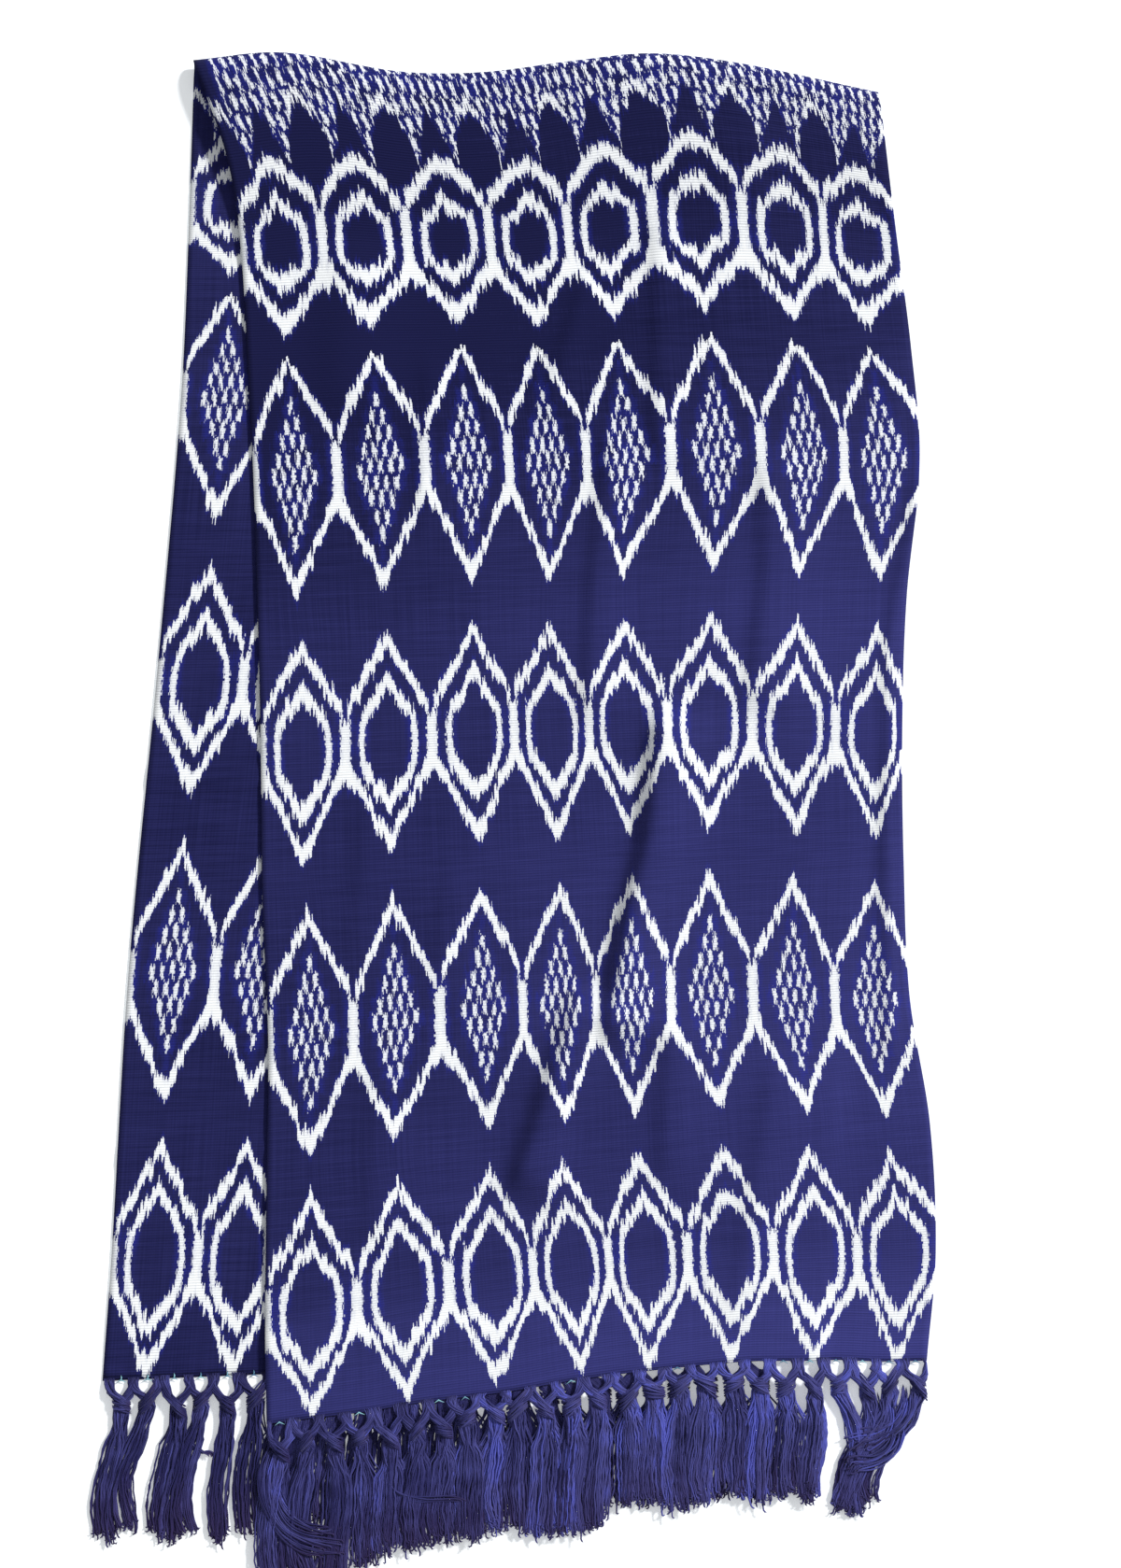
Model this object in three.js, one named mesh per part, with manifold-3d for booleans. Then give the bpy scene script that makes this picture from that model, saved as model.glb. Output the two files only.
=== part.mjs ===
// A handwoven wrap scarf with knotted fringes, folded in half across its length and laid flat.
// +X runs across the cloth, +Y from the fringed ends to the fold, +Z up from the surface.
// Every size is in millimetres.
import * as THREE from 'three';
import { mergeVertices } from 'three/addons/utils/BufferGeometryUtils.js';
import Module from 'manifold-3d';

const wasm = await Module();
wasm.setup();

// ---- Driving dimensions ----

const wall = 1.2;            // thickness of the cloth
const clearance = 0.3;       // between pieces, and between the fringe and the surface
const foldAlong = 903;       // from a hem to the outermost line of the fold, along the cloth
const foldDepth = 14;        // how far the turned stretch reaches back from that line
const foldCrest = 13;        // height of the turned stretch where its edge runs straight
const crestPerRise = 0.2;    // extra height for each millimetre that the edge bulges outwards
const riseFrom = 700;        // the bulges of the fold start to shift the cloth here
const liftFrom = 775;        // the upper stretch starts to climb to the crest here
const seamAlong = foldAlong - foldDepth;
const cellsAcross = 18;      // the same in all three stretches, so that their seams match

const knotCount = 25;        // knots in a row under each hem
const leftKnot = 14;         // from the left selvage to the first knot
const rightKnot = 8;         // from the last knot to the right selvage
const knotDrop = 16;         // from the hem to the middle of the knots
const knotWidth = 10;
const knotLength = 8;
const knotHeight = 3;
const bandLength = 4;        // the strip along the hem that the fringe grows from
const bandHeight = 1.6;
const neckHeight = 2.4;
const neckWidth = 6.2;       // half of a bundle, between the hem and its knot
const neckTopShare = 0.2;    // how far towards the knot it has swung at the hem
const neckFootShare = 0.8;   // the same where it enters the knot
const neckTaper = 0.9;
const hemInset = 3;          // the outermost bundles keep this far inside the selvages
const lockHeight = 2.1;
const lockFill = 0.8;        // share of its room that a lock of threads takes
const tipShare = 0.55;       // a lock's tip against its middle
const rootShare = 0.8;       // the room that a tassel's locks share at the knot, against its width
const fanSpeed = 1.6;        // a tassel has its full width this much before its end
const locksPerTassel = 3;
const lockSteps = 4;
const lengthScatter = 4;     // how much longer or shorter one lock is than its neighbours

const ink = new THREE.Color(0x2c2c5e);
const inkShade = new THREE.Color(0x242553);
const fringeBlue = new THREE.Color(0x343363);

// Lines straight across the upper stretch, from its hem to the fold.
const upperLines = [
  { along: 0, leftX: -224, leftY: -21, rightX: 229, rightY: 22 },
  { along: 74, leftX: -225, leftY: 52, rightX: 235, rightY: 97 },
  { along: 165, leftX: -224, leftY: 147, rightX: 231, rightY: 185 },
  { along: 257, leftX: -223, leftY: 242, rightX: 217, rightY: 273 },
  { along: 350, leftX: -227, leftY: 339, rightX: 213, rightY: 364 },
  { along: 444, leftX: -228, leftY: 436, rightX: 212, rightY: 454 },
  { along: 538, leftX: -230, leftY: 531, rightX: 215, rightY: 547 },
  { along: 632, leftX: -233, leftY: 625, rightX: 224, rightY: 641 },
  { along: 711, leftX: -237, leftY: 706, rightX: 218, rightY: 718 },
  { along: 790, leftX: -242, leftY: 788, rightX: 208, rightY: 794 },
  { along: 848, leftX: -251, leftY: 848, rightX: 201, rightY: 846 },
  { along: foldAlong, leftX: -274, leftY: 914, rightX: 195, rightY: 892 },
];

// The same for the lower stretch, which slants out to the left.
const lowerLines = [
  { along: 0, leftX: -337, leftY: 8, rightX: 121, rightY: 27 },
  { along: 74, leftX: -331, leftY: 90, rightX: 127, rightY: 106 },
  { along: 257, leftX: -319, leftY: 289, rightX: 142, rightY: 302 },
  { along: 444, leftX: -300, leftY: 488, rightX: 162, rightY: 498 },
  { along: 632, leftX: -283, leftY: 683, rightX: 178, rightY: 687 },
  { along: 790, leftX: -277, leftY: 821, rightX: 183, rightY: 812 },
  { along: foldAlong, leftX: -274, leftY: 914, rightX: 195, rightY: 892 },
];

// How far the edge of the fold bulges past a straight line, from the left selvage to the right.
const foldBulges = [
  { across: 0, rise: 0 },
  { across: 0.13, rise: 8 },
  { across: 0.3, rise: -1 },
  { across: 0.42, rise: 1 },
  { across: 0.56, rise: 12 },
  { across: 0.67, rise: 19 },
  { across: 0.8, rise: 15 },
  { across: 1, rise: 0 },
];

// Soft ridges in the upper stretch. Each runs from one end to the other and fades at both.
const ridges = [
  { fromX: 52, fromY: 455, toX: 18, toY: 262, width: 16, height: 6.5 },
  { fromX: -8, fromY: 262, toX: -44, toY: 152, width: 16, height: 5.5 },
  { fromX: 50, fromY: 790, toX: 50, toY: 655, width: 14, height: 3 },
  { fromX: 15, fromY: 640, toX: 2, toY: 480, width: 15, height: 3.5 },
  { fromX: 128, fromY: 625, toX: 120, toY: 488, width: 18, height: 4 },
  { fromX: -160, fromY: 770, toX: -166, toY: 690, width: 22, height: 3.5 },
  { fromX: 207, fromY: 600, toX: 204, toY: 250, width: 7, height: 3 },
  { fromX: 128, fromY: 210, toX: 104, toY: 60, width: 18, height: 3 },
  { fromX: 58, fromY: 240, toX: 55, toY: 165, width: 15, height: 2.5 },
];

// How the upper fringe lies: sideways lean of a tassel's end, bow of its middle, and length.
const upperTassels = [
  { knot: 0, lean: -14, bow: -2, reach: 108 },
  { knot: 3, lean: -11, bow: 3, reach: 105 },
  { knot: 7, lean: -5, bow: -2, reach: 97 },
  { knot: 11, lean: -9, bow: 2, reach: 95 },
  { knot: 14, lean: -6, bow: -2, reach: 101 },
  { knot: 17, lean: -9, bow: 2, reach: 92 },
  { knot: 20, lean: -11, bow: 1, reach: 94 },
  { knot: 21, lean: -12, bow: 12, reach: 95 },
  { knot: 22, lean: -22, bow: 7, reach: 96 },
  { knot: 23, lean: -32, bow: 0, reach: 97 },
  { knot: 24, lean: -43, bow: -7, reach: 93 },
];

const lowerTassels = [
  { knot: 0, lean: -15, bow: -3, reach: 104 },
  { knot: 1, lean: -17, bow: -5, reach: 100 },
  { knot: 2, lean: -13, bow: 1, reach: 106 },
  { knot: 3, lean: -16, bow: -6, reach: 106 },
  { knot: 4, lean: -9, bow: -1, reach: 104 },
  { knot: 5, lean: -10, bow: -4, reach: 102 },
  { knot: 24, lean: -4, bow: 0, reach: 92 },
];

// ---- Small helpers ----

const mix = (start, end, share) => start + (end - start) * share;

const clampShare = (share) => Math.min(1, Math.max(0, share));

function ease(share) {
  const t = clampShare(share);
  return t * t * (3 - 2 * t);
}

// A smooth curve through one column of a table whose rows are in the order of key.
function readTable(rows, key, column, at) {
  let i = 0;
  while (i < rows.length - 2 && at > rows[i + 1][key]) i += 1;
  const slopeBetween = (low, high) =>
    (rows[high][column] - rows[low][column]) / (rows[high][key] - rows[low][key]);
  const span = rows[i + 1][key] - rows[i][key];
  const startRun = span * slopeBetween(Math.max(i - 1, 0), i + 1);
  const endRun = span * slopeBetween(i, Math.min(i + 2, rows.length - 1));
  const t = clampShare((at - rows[i][key]) / span);
  const chord = ease(t) * (rows[i + 1][column] - rows[i][column]);
  return rows[i][column] + chord + t * (1 - t) * ((1 - t) * startRun - t * endRun);
}

// A repeatable value from -1 to 1 for each number.
function scatter(number) {
  const wave = Math.sin(number * 12.9898 + 4.1) * 43758.5453;
  return 2 * (wave - Math.floor(wave)) - 1;
}

// ---- Where the cloth lies ----

const foldRise = (across) => readTable(foldBulges, 'across', 'rise', across);

function planPoint(lines, across, along) {
  const column = (name) => readTable(lines, 'along', name, along);
  const bulge = foldRise(across) * ease((along - riseFrom) / (foldAlong - riseFrom));
  return {
    x: mix(column('leftX'), column('rightX'), across),
    y: mix(column('leftY'), column('rightY'), across) + bulge,
  };
}

const crestHeight = (across) => foldCrest + crestPerRise * foldRise(across);

const lowerEdgeX = (y) => readTable(lowerLines, 'rightY', 'rightX', y);

function lowerHemY(x) {
  const hem = lowerLines[0];
  return mix(hem.leftY, hem.rightY, clampShare((x - hem.leftX) / (hem.rightX - hem.leftX)));
}

// The height of what the upper stretch and its fringe lie on: the lower stretch,
// the lower fringe below that, and the surface itself past the lower stretch's right selvage.
function bedHeight(x, y) {
  const rampLength = 40;
  const edgeMargin = 26;
  const dropLength = 20;
  const overFringe = ease((lowerHemY(x) + rampLength - y) / (rampLength / 2));
  const bed = mix(wall, knotHeight + clearance, overFringe) + clearance;
  return bed * (1 - ease((x - lowerEdgeX(y) - edgeMargin) / dropLength));
}

function ridgeHeight(x, y) {
  const fadeShare = 0.3;
  let height = 0;
  for (const ridge of ridges) {
    const runX = ridge.toX - ridge.fromX;
    const runY = ridge.toY - ridge.fromY;
    const length = Math.hypot(runX, runY);
    const share = ((x - ridge.fromX) * runX + (y - ridge.fromY) * runY) / length ** 2;
    const aside = ((x - ridge.fromX) * runY - (y - ridge.fromY) * runX) / length;
    const ends = ease((share + fadeShare / 2) / fadeShare) * ease((1 + fadeShare / 2 - share) / fadeShare);
    height += ridge.height * ends * Math.exp(-((aside / ridge.width) ** 2));
  }
  return height;
}

function upperHeight(across, along) {
  const { x, y } = planPoint(upperLines, across, along);
  const hemFade = ease(along / 60);
  const lying = bedHeight(x, y) + ridgeHeight(x, y) * hemFade;
  const climb = ease((along - liftFrom) / (seamAlong - liftFrom));
  return mix(lying, crestHeight(across) - wall, climb);
}

// ---- Solids ----

// A cloth wall: a box cut into cells, with each corner moved to place(across, along, outer).
function clothWall(cellsAcross, cellsAlong, place) {
  const box = new THREE.BoxGeometry(1, 1, 1, cellsAcross, cellsAlong, 1);
  box.deleteAttribute('normal');
  box.deleteAttribute('uv');
  const shell = mergeVertices(box);
  const position = shell.attributes.position;
  for (let i = 0; i < position.count; i += 1) {
    const across = position.getX(i) + 0.5;
    const along = position.getY(i) + 0.5;
    const point = place(across, along, position.getZ(i) > 0);
    position.setXYZ(i, point.x, point.y, point.z);
  }
  return shell;
}

function upperStretch() {
  const cellsAlong = 42;
  return clothWall(cellsAcross, cellsAlong, (across, share, outer) => {
    const along = share * (seamAlong - clearance);
    const { x, y } = planPoint(upperLines, across, along);
    return { x, y, z: upperHeight(across, along) + (outer ? wall : 0) };
  });
}

function lowerStretch() {
  const cellsAlong = 14;
  return clothWall(cellsAcross, cellsAlong, (across, share, outer) => {
    const { x, y } = planPoint(lowerLines, across, share * (seamAlong - clearance));
    return { x, y, z: outer ? wall : 0 };
  });
}

// The turned stretch: half of an ellipse from the top of the fold down to the surface.
function turnedStretch() {
  const cellsRound = 8;
  return clothWall(cellsAcross, cellsRound, (across, share, outer) => {
    const angle = Math.PI * (0.5 - share);
    const inset = outer ? 0 : wall;
    const high = planPoint(upperLines, across, seamAlong);
    const low = planPoint(lowerLines, across, seamAlong);
    const edge = planPoint(upperLines, across, foldAlong);
    const side = (1 + Math.sin(angle)) / 2;
    const out = Math.cos(angle) * (1 - inset / foldDepth);
    const half = crestHeight(across) / 2;
    return {
      x: mix(mix(low.x, high.x, side), edge.x, out),
      y: mix(mix(low.y, high.y, side), edge.y, out),
      z: half + Math.sin(angle) * (half - inset),
    };
  });
}

// A strand of threads along a list of { x, y, z, width, height }, where z is its underside.
function strand(path, sides) {
  const turn = sides === 4 ? Math.PI / 4 : 0;
  const tube = new THREE.CylinderGeometry(1, 1, 1, sides, path.length - 1, false, turn);
  tube.deleteAttribute('normal');
  tube.deleteAttribute('uv');
  const shell = mergeVertices(tube);
  const position = shell.attributes.position;
  const widest = sides === 4 ? Math.SQRT1_2 : Math.sqrt(0.75);
  const lowest = sides === 4 ? -Math.SQRT1_2 : -0.5;
  const highest = sides === 4 ? Math.SQRT1_2 : 1;
  for (let i = 0; i < position.count; i += 1) {
    const step = Math.round((0.5 - position.getY(i)) * (path.length - 1));
    const here = path[step];
    const before = path[Math.max(step - 1, 0)];
    const after = path[Math.min(step + 1, path.length - 1)];
    const length = Math.hypot(after.x - before.x, after.y - before.y);
    const aside = (position.getX(i) / widest) * (here.width / 2);
    const up = ((position.getZ(i) - lowest) / (highest - lowest)) * here.height;
    const x = here.x - (aside * (after.y - before.y)) / length;
    const y = here.y + (aside * (after.x - before.x)) / length;
    position.setXYZ(i, x, y, here.z + up);
  }
  return shell;
}

function toManifold(geometry) {
  const vertProperties = new Float32Array(geometry.attributes.position.array);
  const triVerts = new Uint32Array(geometry.index.array);
  return new wasm.Manifold(new wasm.Mesh({ numProp: 3, vertProperties, triVerts }));
}

function toGeometry(solid) {
  const mesh = solid.getMesh();
  const geometry = new THREE.BufferGeometry();
  geometry.setAttribute('position', new THREE.BufferAttribute(mesh.vertProperties, 3));
  geometry.setIndex(new THREE.BufferAttribute(mesh.triVerts, 1));
  return geometry;
}

// ---- The fringes ----

// A fringe hangs from one hem. It is given by the hem's two ends, the table of its tassels,
// the height of what lies under each of its points, and how many of its tassels have knots.
function fringe({ lines, tassels, bed, knottedTassels, seed }) {
  const hem = lines[0];
  const start = new THREE.Vector2(hem.leftX, hem.leftY);
  const end = new THREE.Vector2(hem.rightX, hem.rightY);
  const hemLength = start.distanceTo(end);
  const right = end.clone().sub(start).normalize();
  const pitch = (hemLength - leftKnot - rightKnot) / (knotCount - 1);

  // A point of the fringe from its place along the hem and its distance below it.
  const station = (aside, below, width, height) => {
    const x = start.x + right.x * aside + right.y * below;
    const y = start.y + right.y * aside - right.x * below;
    return { x, y, z: Math.max(bed(x, y), clearance), width, height };
  };

  const pieces = [];
  const band = [];
  const bandSteps = 12;
  for (let i = 0; i <= bandSteps; i += 1) {
    const aside = (hemLength * i) / bandSteps;
    band.push(station(aside, clearance + bandLength / 2, bandLength, bandHeight));
  }
  pieces.push(strand(band, 4));

  for (let knot = 0; knot < knotCount; knot += 1) {
    const middle = leftKnot + knot * pitch;
    const column = (name) => readTable(tassels, 'knot', name, knot);

    // Half of the bundle on either side swings in under the gap and joins the knot.
    const knotted = knot < knottedTassels;
    for (const side of knotted ? [-1, 1] : []) {
      const between = middle + (side * pitch) / 2;
      const neck = Math.min(Math.max(between, hemInset), hemLength - hemInset);
      const footWidth = neckWidth * neckTaper;
      const footHeight = neckHeight * neckTaper;
      pieces.push(strand([
        station(mix(neck, middle, neckTopShare), bandLength / 2, neckWidth, neckHeight),
        station(mix(neck, middle, neckFootShare), knotDrop, footWidth, footHeight),
      ], 4));
    }
    if (knotted) {
      pieces.push(strand([
        station(middle, knotDrop - knotLength / 2, knotWidth, knotHeight * neckTaper),
        station(middle, knotDrop + knotLength / 2, knotWidth, knotHeight),
      ], 4));
    }

    // The locks of the tassel fan out of the knot, or straight from the strip where it is hidden.
    const locks = knotted ? locksPerTassel : 1;
    const rootDrop = knotted ? knotDrop : bandLength / 2;
    const rootSpread = knotted ? knotWidth * rootShare : knotWidth;
    const endPitch = pitch + endSpread(tassels, knot);
    for (let lock = 0; lock < locks; lock += 1) {
      const offset = (lock + 0.5) / locks - 0.5;
      const reach = column('reach') + lengthScatter * scatter(seed + knot * 7 + lock);
      const path = [];
      for (let step = 0; step <= lockSteps; step += 1) {
        const share = step / lockSteps;
        const spread = mix(rootSpread, endPitch, ease(share * fanSpeed));
        const sway = column('lean') * ease(share) + column('bow') * Math.sin(Math.PI * share);
        const taper = step === lockSteps ? tipShare : 1;
        const width = (spread / locks) * lockFill * taper;
        const aside = middle + offset * spread + sway;
        path.push(station(aside, mix(rootDrop, reach, share), width, lockHeight * taper));
      }
      pieces.push(strand(path, 3));
    }
  }
  return toGeometry(pieces.map(toManifold).reduce((whole, piece) => whole.add(piece)));
}

// How much nearer or further apart two neighbouring tassels' ends are than their knots.
function endSpread(tassels, knot) {
  const lean = (at) => readTable(tassels, 'knot', 'lean', at);
  return lean(Math.min(knot + 0.5, knotCount - 1)) - lean(Math.max(knot - 0.5, 0));
}

const upperFringe = () => fringe({
  lines: upperLines,
  tassels: upperTassels,
  bed: bedHeight,
  knottedTassels: knotCount,
  seed: 1,
});

// Only the left tassels of the lower fringe lie in the open. The rest are plain locks.
const lowerFringe = () => fringe({
  lines: lowerLines,
  tassels: lowerTassels,
  bed: () => clearance,
  knottedTassels: 6,
  seed: 300,
});

// ---- The scarf ----

function piece(name, geometry, color, roughness) {
  const material = new THREE.MeshStandardMaterial({ color, roughness, metalness: 0 });
  const mesh = new THREE.Mesh(geometry, material);
  mesh.name = name;
  return mesh;
}

const scarf = new THREE.Group();
scarf.add(piece('upper_stretch', upperStretch(), ink, 0.9));
scarf.add(piece('turned_stretch', turnedStretch(), inkShade, 0.9));
scarf.add(piece('lower_stretch', lowerStretch(), inkShade, 0.9));
scarf.add(piece('upper_fringe', upperFringe(), fringeBlue, 0.85));
scarf.add(piece('lower_fringe', lowerFringe(), fringeBlue, 0.85));

// The origin is on the surface, at the middle of the whole scarf's box.
const box = new THREE.Box3().setFromObject(scarf, true);
scarf.position.set(-(box.min.x + box.max.x) / 2, -(box.min.y + box.max.y) / 2, -box.min.z);

export default scarf;
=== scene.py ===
# %% [markdown]
# # A handwoven wrap scarf, folded in half and laid flat
#
# The real scarf is one length of indigo cotton with ikat diamonds, about 0.46 by 1.82 metres.
# Both ends have a knotted fringe. It lies folded across its middle, the fold at the far side,
# and the upper half has slipped a little to the right of the lower one.
# The lesson builds the cloth as one thin sheet, dyes it with a procedural ikat, and then
# lays about 3,600 loose threads along both hems.

# %% Load the frame
import math
import random

import bmesh
import bpy
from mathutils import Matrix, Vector, noise


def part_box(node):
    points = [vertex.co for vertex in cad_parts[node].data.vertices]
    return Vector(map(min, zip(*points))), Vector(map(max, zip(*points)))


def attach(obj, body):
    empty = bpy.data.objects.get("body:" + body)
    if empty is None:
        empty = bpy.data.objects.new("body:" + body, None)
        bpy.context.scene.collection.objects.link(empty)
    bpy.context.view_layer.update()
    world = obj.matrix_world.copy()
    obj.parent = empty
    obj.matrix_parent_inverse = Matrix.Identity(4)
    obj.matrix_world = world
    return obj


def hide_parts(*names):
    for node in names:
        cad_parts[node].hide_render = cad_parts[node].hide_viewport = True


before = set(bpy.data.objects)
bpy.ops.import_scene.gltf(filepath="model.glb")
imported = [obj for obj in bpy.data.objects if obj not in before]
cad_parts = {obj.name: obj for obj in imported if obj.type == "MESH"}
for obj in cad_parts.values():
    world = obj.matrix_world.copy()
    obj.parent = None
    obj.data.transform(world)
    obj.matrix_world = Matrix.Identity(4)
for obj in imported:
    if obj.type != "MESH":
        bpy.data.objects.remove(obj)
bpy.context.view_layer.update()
scene = bpy.context.scene
scene.view_settings.view_transform = "Standard"

# %% [markdown]
# ## How the cloth lies
#
# A folded cloth is easiest to describe by lines straight across it, from the hem to the fold.
# Each row of these tables is one such line: how far along the cloth it is, and where its left
# and right ends lie on the table. A smooth curve through each column gives every line between.
# The lower half has a table of its own, because it slants out to the left.

# %% The lines across the two halves
FOLD_ALONG = 0.903
FOLD_DEPTH = 0.014
SEAM_ALONG = FOLD_ALONG - FOLD_DEPTH
CLOTH_WIDTH = 0.46
COLUMNS = ("along", "left_x", "left_y", "right_x", "right_y")


def table_of(columns, rows):
    return [dict(zip(columns, row)) for row in rows]


upper_lines = table_of(COLUMNS, [
    (0.000, -0.224, -0.021, 0.229, 0.022),
    (0.074, -0.225, 0.052, 0.235, 0.097),
    (0.165, -0.224, 0.147, 0.231, 0.185),
    (0.257, -0.223, 0.242, 0.217, 0.273),
    (0.350, -0.227, 0.339, 0.213, 0.364),
    (0.444, -0.228, 0.436, 0.212, 0.454),
    (0.538, -0.230, 0.531, 0.215, 0.547),
    (0.632, -0.233, 0.625, 0.224, 0.641),
    (0.711, -0.237, 0.706, 0.218, 0.718),
    (0.790, -0.242, 0.788, 0.208, 0.794),
    (0.848, -0.251, 0.848, 0.201, 0.846),
    (FOLD_ALONG, -0.274, 0.914, 0.195, 0.892),
])
lower_lines = table_of(COLUMNS, [
    (0.000, -0.337, 0.008, 0.121, 0.027),
    (0.074, -0.331, 0.090, 0.127, 0.106),
    (0.257, -0.319, 0.289, 0.142, 0.302),
    (0.444, -0.300, 0.488, 0.162, 0.498),
    (0.632, -0.283, 0.683, 0.178, 0.687),
    (0.790, -0.277, 0.821, 0.183, 0.812),
    (FOLD_ALONG, -0.274, 0.914, 0.195, 0.892),
])
fold_bulges = table_of(("across", "rise"), [
    (0.00, 0.000), (0.13, 0.008), (0.30, -0.001), (0.42, 0.001),
    (0.56, 0.012), (0.67, 0.019), (0.80, 0.015), (1.00, 0.000),
])
# The upper hem was pulled towards the fold right of its middle.
hem_bulges = table_of(("across", "rise"), [
    (0.00, 0.0000), (0.06, 0.0010), (0.15, 0.0020), (0.22, 0.0044), (0.30, 0.0056),
    (0.37, 0.0066), (0.48, 0.0104), (0.60, 0.0118), (0.72, 0.0118), (0.80, 0.0090),
    (0.87, 0.0060), (0.93, 0.0024), (1.00, 0.0000),
])
HEM_BULGE_REACH = 0.22

# The cloth was dyed in eight columns. The first table says where each one's middle lies from
# the left selvage. Under the hand the warp slid sideways: the second table says how far each
# column lies to the right of a straight grid, in millimetres, at places along the upper half.
column_places = [0.030, 0.089, 0.147, 0.204, 0.259, 0.321, 0.380, 0.436]
column_shifts = table_of(("along", 0, 1, 2, 3, 4, 5, 6, 7), [
    (0.000, 2.5, 9.0, 15.0, 15.0, 7.0, 2.0, 1.0, 3.0),
    (0.150, 1.0, 2.0, 7.0, 1.0, -2.5, -5.5, -5.0, -5.0),
    (0.177, 0.0, 0.0, 8.0, 3.5, -2.5, -5.5, -4.0, -5.0),
    (0.337, 2.0, 4.5, 9.5, 9.0, 5.0, -0.5, 0.5, 3.0),
    (0.368, 0.0, 3.5, 9.5, 9.5, 5.5, -1.0, 3.0, 4.5),
    (0.519, 0.0, 1.5, 5.5, 2.0, 0.0, 1.0, 3.0, 4.5),
    (0.553, -2.0, 0.5, 4.5, 2.0, -1.5, 0.5, 2.0, 3.0),
    (0.714, -2.0, -2.0, 1.0, -2.0, -2.5, -1.0, 0.5, -4.0),
    (0.846, -2.0, -2.0, 0.0, 0.0, -1.0, 3.0, 5.0, 1.5),
    (FOLD_ALONG, -2.0, -2.0, 0.0, 0.0, -1.0, 3.0, 5.0, 1.5),
])

lower_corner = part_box("lower_stretch")[0]
to_frame = Vector((
    lower_corner[0] - lower_lines[0]["left_x"],
    lower_corner[1] - lower_lines[0]["left_y"],
    0,
))
print("the drawing moves by", [round(c, 4) for c in to_frame], "m into the frame")


# %% Reading a table smoothly
def mix(start, end, share):
    return start + (end - start) * share


def clamp(share):
    return min(1.0, max(0.0, share))


def ease(share):
    t = clamp(share)
    return t * t * (3 - 2 * t)


def read(rows, key, column, at):
    """A smooth curve through one column of a table whose rows are in the order of key."""
    i = 0
    while i < len(rows) - 2 and at > rows[i + 1][key]:
        i += 1

    def slope(low, high):
        return (rows[high][column] - rows[low][column]) / (rows[high][key] - rows[low][key])

    span = rows[i + 1][key] - rows[i][key]
    start_run = span * slope(max(i - 1, 0), i + 1)
    end_run = span * slope(i, min(i + 2, len(rows) - 1))
    t = clamp((at - rows[i][key]) / span)
    chord = ease(t) * (rows[i + 1][column] - rows[i][column])
    return rows[i][column] + chord + t * (1 - t) * ((1 - t) * start_run - t * end_run)


# %% [markdown]
# ## The camera, the floor and the light
#
# The camera comes first, so that every later step can be judged through it. The scarf lies on
# a white table and is seen from straight above with a long lens, so nothing is foreshortened.
# The light is one broad soft lamp from the far side and a weak pale sky from all round.

# %% Camera
PICTURE_HEIGHT = 1679
METRES_PER_PIXEL = 0.6416e-3
VIEW_CENTRE = Vector((-0.0225, 0.418, 0.0)) + to_frame
CAMERA_HEIGHT = 2.4
SENSOR = 36.0

camera = bpy.data.objects.new("camera", bpy.data.cameras.new("camera"))
scene.collection.objects.link(camera)
camera.location = VIEW_CENTRE + Vector((0, 0, CAMERA_HEIGHT))
camera.data.sensor_width = SENSOR
camera.data.lens = SENSOR * CAMERA_HEIGHT / (PICTURE_HEIGHT * METRES_PER_PIXEL)
camera.data.clip_end = 20
scene.camera = camera
print("lens", round(camera.data.lens, 1), "mm")

# %% Floor and light
FLOOR_SIZE = 8.0
FLOOR_GAP = 0.0004


def sky_lamp(name, direction, strength, angle):
    lamp = bpy.data.objects.new(name, bpy.data.lights.new(name, "SUN"))
    lamp.data.energy = strength
    lamp.data.angle = math.radians(angle)
    lamp.rotation_euler = Vector(direction).to_track_quat("-Z", "Y").to_euler()
    scene.collection.objects.link(lamp)


sky_lamp("window", direction=(-0.66, -0.50, -0.56), strength=3.6, angle=8)
world = bpy.data.worlds.new("room")
scene.world = world
world.use_nodes = True
world.node_tree.nodes["Background"].inputs["Color"].default_value = (0.95, 0.97, 1, 1)
world.node_tree.nodes["Background"].inputs["Strength"].default_value = 0.46

# %% [markdown]
# ## Shader maths as Python
#
# A dyed cloth needs long formulas. The Wire class wraps a number socket, so that a formula
# such as `1 - abs(distance) / width` adds its own Math nodes. Every other node comes from the
# Finish class's one method, which takes the node's type, its settings and its inputs.


# %% Wire and Finish
class Wire:
    """A number in a shader. Arithmetic on it adds Math nodes."""

    def __init__(self, finish, socket):
        self.finish = finish
        self.socket = socket

    def math(self, operation, *others):
        inputs = {0: self, **{i + 1: other for i, other in enumerate(others)}}
        return self.finish.node("ShaderNodeMath", {"operation": operation}, inputs)

    def __add__(self, other):
        return self.math("ADD", other)

    __radd__ = __add__

    def __mul__(self, other):
        return self.math("MULTIPLY", other)

    __rmul__ = __mul__

    def __sub__(self, other):
        return self.math("SUBTRACT", other)

    def __rsub__(self, other):
        return self.math("MULTIPLY_ADD", -1.0, other)

    def __truediv__(self, other):
        return self.math("DIVIDE", other)

    def __neg__(self):
        return self.math("MULTIPLY", -1.0)

    def __abs__(self):
        return self.math("ABSOLUTE")

    def at_least(self, other):
        return self.math("MAXIMUM", other)

    def at_most(self, other):
        return self.math("MINIMUM", other)

    def floor(self):
        return self.math("FLOOR")

    def part(self):
        return self.math("FRACT")

    def over(self, threshold):
        return self.math("GREATER_THAN", threshold)

    def sine(self):
        return self.math("SINE")

    def share(self):
        return self.at_least(0.0).at_most(1.0)


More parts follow.
